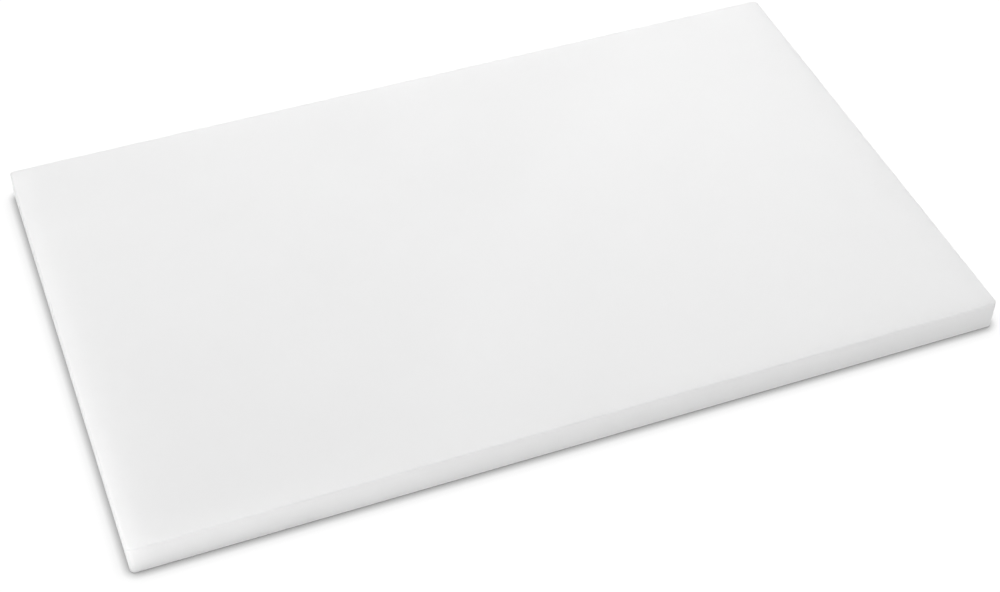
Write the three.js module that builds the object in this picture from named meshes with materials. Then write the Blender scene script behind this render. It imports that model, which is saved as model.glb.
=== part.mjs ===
// Cutting board for a butcher's or deli counter.
// One solid plate of white polyethylene, cut from pressed sheet and machined all round.
// Both large faces are flat and alike, so either can be the working face.
//
// Millimetres, +Z up. The origin is the centre of the face that the board rests on,
// +X runs along the length and +Y across the width.

import * as THREE from "three";

// Plate, to the outside of its rounded edges. Length and width are the full gastronorm tray size.
const LENGTH = 530;
const WIDTH = 325;
const THICKNESS = 20;

// The four upright corners are rounded in plan.
const CORNER_RADIUS = 3;
const CORNER_STEPS = 6;

// Both rims are rounded over, where the large faces meet the upright sides.
const RIM_RADIUS = 1.2;
const RIM_STEPS = 4;

// Natural white polyethylene with a fine matt surface.
const WHITE = 0xf2f2f1;
const MATT = 0.6;

// Outline of a rectangle with round corners, centred on the origin.
function roundedRectangle(length, width, radius) {
  const x = length / 2;
  const y = width / 2;
  const quarter = Math.PI / 2;
  const outline = new THREE.Shape();
  outline.moveTo(-x + radius, -y);
  outline.lineTo(x - radius, -y);
  outline.absarc(x - radius, -y + radius, radius, -quarter, 0);
  outline.lineTo(x, y - radius);
  outline.absarc(x - radius, y - radius, radius, 0, quarter);
  outline.lineTo(-x + radius, y);
  outline.absarc(-x + radius, y - radius, radius, quarter, 2 * quarter);
  outline.lineTo(-x, -y + radius);
  outline.absarc(-x + radius, -y + radius, radius, 2 * quarter, 3 * quarter);
  return outline;
}

// The flat face's outline, swept up through the thickness. The bevel grows it to full size
// below the top rim and above the bottom rim.
function plateGeometry() {
  const outline = roundedRectangle(
    LENGTH - 2 * RIM_RADIUS,
    WIDTH - 2 * RIM_RADIUS,
    CORNER_RADIUS - RIM_RADIUS,
  );
  const geometry = new THREE.ExtrudeGeometry(outline, {
    depth: THICKNESS - 2 * RIM_RADIUS,
    curveSegments: CORNER_STEPS,
    bevelEnabled: true,
    bevelThickness: RIM_RADIUS,
    bevelSize: RIM_RADIUS,
    bevelSegments: RIM_STEPS,
  });
  geometry.translate(0, 0, RIM_RADIUS);
  return geometry;
}

function whitePolyethylene() {
  return new THREE.MeshStandardMaterial({
    color: WHITE,
    roughness: MATT,
    metalness: 0,
  });
}

const plate = new THREE.Mesh(plateGeometry(), whitePolyethylene());
plate.name = "board_plate";

const cuttingBoard = new THREE.Group();
cuttingBoard.add(plate);

export default cuttingBoard;
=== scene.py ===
"""A white polyethylene cutting board on a white table, in soft studio light.

Metres, +Z up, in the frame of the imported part: the origin is the centre of the resting face,
+X runs along the board and +Y across it, away from the user.
"""

import math

import bpy
import bmesh
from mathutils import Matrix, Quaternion, Vector


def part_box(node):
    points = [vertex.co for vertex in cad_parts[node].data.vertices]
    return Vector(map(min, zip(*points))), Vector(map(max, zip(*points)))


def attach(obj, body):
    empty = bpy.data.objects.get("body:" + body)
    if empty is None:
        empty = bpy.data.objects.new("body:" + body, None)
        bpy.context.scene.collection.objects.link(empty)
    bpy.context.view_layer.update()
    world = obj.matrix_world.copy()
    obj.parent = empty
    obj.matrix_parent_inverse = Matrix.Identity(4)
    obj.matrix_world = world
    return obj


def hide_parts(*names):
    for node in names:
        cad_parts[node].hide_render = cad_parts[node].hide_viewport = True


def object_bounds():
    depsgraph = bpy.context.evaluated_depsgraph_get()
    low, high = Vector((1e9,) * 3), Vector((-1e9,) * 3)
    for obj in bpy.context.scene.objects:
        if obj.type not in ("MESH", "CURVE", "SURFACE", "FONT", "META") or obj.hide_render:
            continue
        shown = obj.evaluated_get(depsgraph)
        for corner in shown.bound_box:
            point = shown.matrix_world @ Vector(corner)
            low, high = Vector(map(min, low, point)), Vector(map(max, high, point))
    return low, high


NODE = "board_plate"
BODY = "root"
SLOT = "white_polyethylene"
QUARTER = math.pi / 2

# The plate's shape within its box: the radius of its upright corners, and of both rims.
CORNER_RADIUS = 0.003
RIM_RADIUS = 0.0012

# How finely the plate is meshed.
FACE_CELL = 0.010
SIDE_CELL = 0.005
CORNER_STEPS = 16
RIM_STEPS = 8

# The plastic's own colour, and how far light spreads inside it.
LIGHT_WHITE = (0.936, 0.936, 0.936, 1.0)
DARK_WHITE = (0.924, 0.924, 0.924, 1.0)
LIGHT_SPREAD = 0.050
REFRACTIVE_INDEX = 1.54

# The surface: faint clouds in the pressed sheet, a fine grain all over, and upright marks of the
# cutter on the milled sides.
NOISE_SPAN = (0.3, 0.7)
CLOUD_SPACING = 0.045
CLOUD_DETAIL = 4.0
ROUGHNESS_RANGE = (0.46, 0.54)
FINE_DETAIL = 1.0
GRAIN_SPACING = 0.0006
GRAIN_HEIGHT = 0.000012
CUTTER_SPACING = 0.0011
CUTTER_LENGTH = 0.03
CUTTER_HEIGHT = 0.000010

# The camera stands round the board's middle. Azimuth 0 looks along +Y; negative is to the left.
# Lens and sensor are in millimetres, as Blender takes them.
CAMERA_AZIMUTH = math.radians(-21.466)
CAMERA_ELEVATION = math.radians(44.673)
CAMERA_ROLL = math.radians(0.664)
CAMERA_DISTANCE = 1.1568
CAMERA_AIM_OFFSET = Vector((-0.0120, -0.0527, 0.0))
CAMERA_LENS = 69.59
CAMERA_SENSOR = 36.0

# The floor is a lit white table, a hair below the board. Its glow fades next to the board as a painted
# contact shadow, strongly within the contact reach and slightly within the shade reach, and a weaker glow
# stays underneath as painted light.
FLOOR_SIZE = 12.0
FLOOR_GAP = 0.0002
FLOOR_ALBEDO = 0.10
FLOOR_GLOW = 0.965
PAINTED_CONTACT_REACH = 0.005
PAINTED_SHADE_REACH = 0.012
PAINTED_SHADE_FADE = 0.45
SHADOW_SAMPLES = 8
PAINTED_UNDER_GLOW = 0.44
PAINTED_UNDER_FADE = 6.0


def spaced(low, high, cell):
    """Evenly spaced values from low to high, both included, about one cell apart."""
    count = max(1, round((high - low) / cell))
    return [low + (high - low) * i / count for i in range(count + 1)]


def side_profile(thickness):
    """The side in section, from the resting face up, as (outward lean, height, slope).

    Lean is 0 on the face's flat edge and RIM_RADIUS on the upright side. Slope is the angle of
    the surface's normal above the horizon.
    """
    points = []
    for i in range(RIM_STEPS + 1):
        slope = -QUARTER + QUARTER * i / RIM_STEPS
        points.append((RIM_RADIUS * math.cos(slope), RIM_RADIUS * (1 + math.sin(slope)), slope))
    for z in spaced(RIM_RADIUS, thickness - RIM_RADIUS, SIDE_CELL)[1:-1]:
        points.append((RIM_RADIUS, z, 0.0))
    for i in range(RIM_STEPS + 1):
        slope = QUARTER * i / RIM_STEPS
        points.append((RIM_RADIUS * math.cos(slope), thickness - RIM_RADIUS * (1 - math.sin(slope)), slope))
    return points


def plan_ring(xs, ys):
    """One turn round the plate in plan, anticlockwise, as (corner centre or side point, direction out)."""
    low_x, high_x, low_y, high_y = xs[0], xs[-1], ys[0], ys[-1]
    sides = (
        ((high_x, low_y), -QUARTER, [(high_x, y) for y in ys[1:-1]]),
        ((high_x, high_y), 0.0, [(x, high_y) for x in reversed(xs[1:-1])]),
        ((low_x, high_y), QUARTER, [(low_x, y) for y in reversed(ys[1:-1])]),
        ((low_x, low_y), 2 * QUARTER, [(x, low_y) for x in xs[1:-1]]),
    )
    ring = []
    for corner, start, side in sides:
        for i in range(CORNER_STEPS + 1):
            ring.append((corner, start + QUARTER * i / CORNER_STEPS))
        ring += [(point, start + QUARTER) for point in side]
    return ring


def side_row(vertex, ring, lean, z, slope):
    """One turn of vertices round the side, at one point of its profile."""
    reach = CORNER_RADIUS - RIM_RADIUS + lean
    row = []
    for (x, y), turn in ring:
        out = Vector((math.cos(turn), math.sin(turn)))
        normal = Vector((*(out * math.cos(slope)), math.sin(slope)))
        row.append(vertex(x + reach * out.x, y + reach * out.y, z, normal))
    return row


def turned(ring):
    """The same ring, one step on."""
    return ring[1:] + ring[:1]


def face_cells(grid, xs, ys, ring, edge):
    """A large face's cells, anticlockwise from above: the grid's, then those out to the rim's edge."""
    cells = [
        (grid[x0, y0], grid[x1, y0], grid[x1, y1], grid[x0, y1])
        for x0, x1 in zip(xs, xs[1:])
        for y0, y1 in zip(ys, ys[1:])
    ]
    border = [grid[point] for point, turn in ring]
    for outer, next_outer, inner, next_inner in zip(edge, turned(edge), border, turned(border)):
        cells.append((outer, next_outer, *dict.fromkeys((next_inner, inner))))
    return cells


def plate_mesh(low, high):
    """The plate between two corners of its box: flat faces of square cells, round rims and corners."""
    bm = bmesh.new()
    normals = []

    def vertex(x, y, z, normal):
        normals.append(normal)
        return bm.verts.new((x, y, z))

    xs = spaced(low.x + CORNER_RADIUS, high.x - CORNER_RADIUS, FACE_CELL)
    ys = spaced(low.y + CORNER_RADIUS, high.y - CORNER_RADIUS, FACE_CELL)
    ring = plan_ring(xs, ys)
    rows = []
    for lean, height, slope in side_profile(high.z - low.z):
        rows.append(side_row(vertex, ring, lean, low.z + height, slope))
    cells = []
    for below, above in zip(rows, rows[1:]):
        cells += zip(below, turned(below), turned(above), above)
    for edge, z, up in ((rows[0], low.z, -1), (rows[-1], high.z, 1)):
        grid = {(x, y): vertex(x, y, z, Vector((0, 0, up))) for x in xs for y in ys}
        for cell in face_cells(grid, xs, ys, ring, edge):
            cells.append(cell if up > 0 else cell[::-1])
    for cell in cells:
        bm.faces.new(cell).smooth = True
    mesh = bpy.data.meshes.new("plate")
    bm.to_mesh(mesh)
    bm.free()
    mesh.normals_split_custom_set_from_vertices(normals)
    return mesh


def math_node(tree, operation, *values):
    """A Math node's result. Each value is a number or another node's output."""
    node = tree.nodes.new("ShaderNodeMath")
    node.operation = operation
    for socket, value in zip(node.inputs, values):
        if isinstance(value, float):
            socket.default_value = value
        else:
            tree.links.new(value, socket)
    return node.outputs["Value"]


def noise(tree, point, spacing, detail):
    """Smooth noise round 0.5, with features about one spacing apart."""
    node = tree.nodes.new("ShaderNodeTexNoise")
    node.inputs["Scale"].default_value = 1 / spacing
    node.inputs["Detail"].default_value = detail
    tree.links.new(point, node.inputs["Vector"])
    return node.outputs["Fac"]


def shaded(tree, noise_value, low, high):
    """A colour from low to high over the noise's usual span."""
    ramp = tree.nodes.new("ShaderNodeValToRGB")
    for element, position, colour in zip(ramp.color_ramp.elements, NOISE_SPAN, (low, high)):
        element.position = position
        element.color = colour
    tree.links.new(noise_value, ramp.inputs["Fac"])
    return ramp.outputs["Color"]


def ranged(tree, noise_value, low, high):
    """A number from low to high over the noise's usual span."""
    node = tree.nodes.new("ShaderNodeMapRange")
    node.inputs["From Min"].default_value, node.inputs["From Max"].default_value = NOISE_SPAN
    node.inputs["To Min"].default_value = low
    node.inputs["To Max"].default_value = high
    tree.links.new(noise_value, node.inputs["Value"])
    return node.outputs["Result"]


def drawn_out_upwards(tree, point, ratio):
    """The point with its height shrunk, so that noise there becomes upright streaks on upright sides."""
    node = tree.nodes.new("ShaderNodeMapping")
    node.inputs["Scale"].default_value = (1.0, 1.0, ratio)
    tree.links.new(point, node.inputs["Vector"])
    return node.outputs["Vector"]


def steepness(tree, normal):
    """How upright the surface is: 1 on the sides, 0 on the two faces, between them on the rims."""
    node = tree.nodes.new("ShaderNodeSeparateXYZ")
    tree.links.new(normal, node.inputs["Vector"])
    return math_node(tree, "SUBTRACT", 1.0, math_node(tree, "ABSOLUTE", node.outputs["Z"]))


def polyethylene():
    """White polyethylene sheet: light enters it and spreads, and the surface is matt."""
    material = bpy.data.materials.new(SLOT)
    material.use_nodes = True
    tree = material.node_tree
    shader = tree.nodes["Principled BSDF"]
    shader.inputs["IOR"].default_value = REFRACTIVE_INDEX
    shader.inputs["Subsurface Weight"].default_value = 1.0
    shader.inputs["Subsurface Radius"].default_value = (1.0, 1.0, 1.0)
    shader.inputs["Subsurface Scale"].default_value = LIGHT_SPREAD

    place = tree.nodes.new("ShaderNodeTexCoord")
    point = place.outputs["Object"]
    upright = steepness(tree, place.outputs["Normal"])

    clouds = noise(tree, point, CLOUD_SPACING, CLOUD_DETAIL)
    tree.links.new(shaded(tree, clouds, DARK_WHITE, LIGHT_WHITE), shader.inputs["Base Color"])
    tree.links.new(ranged(tree, clouds, *ROUGHNESS_RANGE), shader.inputs["Roughness"])

    grain = math_node(tree, "MULTIPLY", noise(tree, point, GRAIN_SPACING, FINE_DETAIL), GRAIN_HEIGHT)
    streaks = drawn_out_upwards(tree, point, CUTTER_SPACING / CUTTER_LENGTH)
    marks = math_node(tree, "MULTIPLY", noise(tree, streaks, CUTTER_SPACING, FINE_DETAIL), CUTTER_HEIGHT)
    relief = math_node(tree, "ADD", grain, math_node(tree, "MULTIPLY", marks, upright))
    bump = tree.nodes.new("ShaderNodeBump")
    bump.inputs["Distance"].default_value = 1.0
    tree.links.new(relief, bump.inputs["Height"])
    tree.links.new(bump.outputs["Normal"], shader.inputs["Normal"])
    return material


def build_plate():
    """The board itself, in place of its plain CAD solid."""
    low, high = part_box(NODE)
    plate = bpy.data.objects.new("plate", plate_mesh(low, high))
    bpy.context.scene.collection.objects.link(plate)
    plate.data.materials.append(polyethylene())
    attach(plate, BODY)
    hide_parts(NODE)


def openness(tree, reach):
    """How open the surface is within a reach: 1 with nothing near it, 0 where it is covered."""
    node = tree.nodes.new("ShaderNodeAmbientOcclusion")
    node.samples = SHADOW_SAMPLES
    node.inputs["Distance"].default_value = reach
    return node.outputs["AO"]


def floor_material():
    """A lit white table. Its glow fades where the board stands close, a painted contact shadow, and a
    weaker painted light glows under the board.
    """
    material = bpy.data.materials.new("white_floor")
    material.use_nodes = True
    tree = material.node_tree
    shader = tree.nodes["Principled BSDF"]
    shader.inputs["Base Color"].default_value = (FLOOR_ALBEDO, FLOOR_ALBEDO, FLOOR_ALBEDO, 1.0)
    shader.inputs["Roughness"].default_value = 1.0
    shader.inputs["Specular IOR Level"].default_value = 0.0
    shader.inputs["Emission Color"].default_value = (1.0, 1.0, 1.0, 1.0)
    # Painted contact shadow: the table's glow dims where the board stands close.
    contact = openness(tree, PAINTED_CONTACT_REACH)
    painted_shade = math_node(tree, "POWER", openness(tree, PAINTED_SHADE_REACH), PAINTED_SHADE_FADE)
    glow_with_painted_shadow = math_node(tree, "MULTIPLY", math_node(tree, "MULTIPLY", contact, painted_shade), FLOOR_GLOW)
    # Painted light: a weaker glow only under the board, where the floor is covered.
    covered = math_node(tree, "SUBTRACT", 1.0, contact)
    painted_under_light = math_node(tree, "MULTIPLY", math_node(tree, "POWER", covered, PAINTED_UNDER_FADE), PAINTED_UNDER_GLOW)
    tree.links.new(math_node(tree, "ADD", glow_with_painted_shadow, painted_under_light), shader.inputs["Emission Strength"])
    return material


def build_floor(level):
    """The white table, a large square at one level. It is staging and not part of the board."""
    mesh = bpy.data.meshes.new("floor")
    half = FLOOR_SIZE / 2
    corners = [(-half, -half, level), (half, -half, level), (half, half, level), (-half, half, level)]
    mesh.from_pydata(corners, [], [(0, 1, 2, 3)])
    floor = bpy.data.objects.new("floor", mesh)
    bpy.context.scene.collection.objects.link(floor)
    mesh.materials.append(floor_material())


def softbox(name, place, size, power):
    """A soft rectangular lamp that faces the board's middle. The camera doesn't see it."""
    data = bpy.data.lights.new(name, "AREA")
    data.shape = "RECTANGLE"
    data.size, data.size_y = size
    data.energy = power
    lamp = bpy.data.objects.new(name, data)
    bpy.context.scene.collection.objects.link(lamp)
    lamp.location = place
    lamp.rotation_euler = (-Vector(place)).to_track_quat("-Z", "Y").to_euler()
    lamp.visible_camera = False


def build_lights():
    """Studio light: large lamps behind, to the left and overhead, and weak ones low in front."""
    softbox("back", (0.15, 0.9, 0.85), (1.2, 0.6), 6.2)
    softbox("left", (-0.9, 0.0, 0.85), (0.6, 0.6), 4.6)
    softbox("overhead_right", (0.6, 0.0, 1.1), (0.6, 0.6), 7.4)
    softbox("low_front_left", (-0.75, -0.75, 0.08), (0.8, 0.12), 2.8)
    softbox("near_front_left", (-0.45, -0.35, 0.25), (0.3, 0.3), 0.15)


def build_backdrop():
    """The bright room: it shows past the floor's edge and in the plastic's sheen."""
    world = bpy.data.worlds.new("backdrop")
    world.use_nodes = True
    background = world.node_tree.nodes["Background"]
    background.inputs["Color"].default_value = (1.0, 1.0, 1.0, 1.0)
    background.inputs["Strength"].default_value = FLOOR_GLOW
    bpy.context.scene.world = world
    world.cycles_visibility.diffuse = False


def build_camera(low, high):
    """The photograph's view of the board, whose box reaches from low to high."""
    data = bpy.data.cameras.new("camera")
    data.lens = CAMERA_LENS
    data.sensor_width = CAMERA_SENSOR
    camera = bpy.data.objects.new("camera", data)
    bpy.context.scene.collection.objects.link(camera)
    middle = (low + high) / 2
    aim = Vector((middle.x, middle.y, high.z)) + CAMERA_AIM_OFFSET
    back = Vector((
        math.sin(CAMERA_AZIMUTH) * math.cos(CAMERA_ELEVATION),
        -math.cos(CAMERA_AZIMUTH) * math.cos(CAMERA_ELEVATION),
        math.sin(CAMERA_ELEVATION),
    ))
    camera.location = aim + CAMERA_DISTANCE * back
    roll = Quaternion((0, 0, 1), CAMERA_ROLL)
    camera.rotation_mode = "QUATERNION"
    camera.rotation_quaternion = (-back).to_track_quat("-Z", "Y") @ roll
    bpy.context.scene.camera = camera


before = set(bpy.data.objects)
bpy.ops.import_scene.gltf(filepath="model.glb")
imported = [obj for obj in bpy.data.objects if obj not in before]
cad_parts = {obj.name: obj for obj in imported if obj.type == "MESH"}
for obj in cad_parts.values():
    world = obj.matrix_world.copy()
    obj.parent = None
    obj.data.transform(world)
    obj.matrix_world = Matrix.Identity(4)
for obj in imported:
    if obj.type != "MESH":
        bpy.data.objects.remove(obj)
cad_low, cad_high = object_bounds()
bpy.context.scene.view_settings.view_transform = "Standard"
build_camera(cad_low, cad_high)
build_plate()
build_floor(cad_low.z - FLOOR_GAP)
build_lights()
build_backdrop()
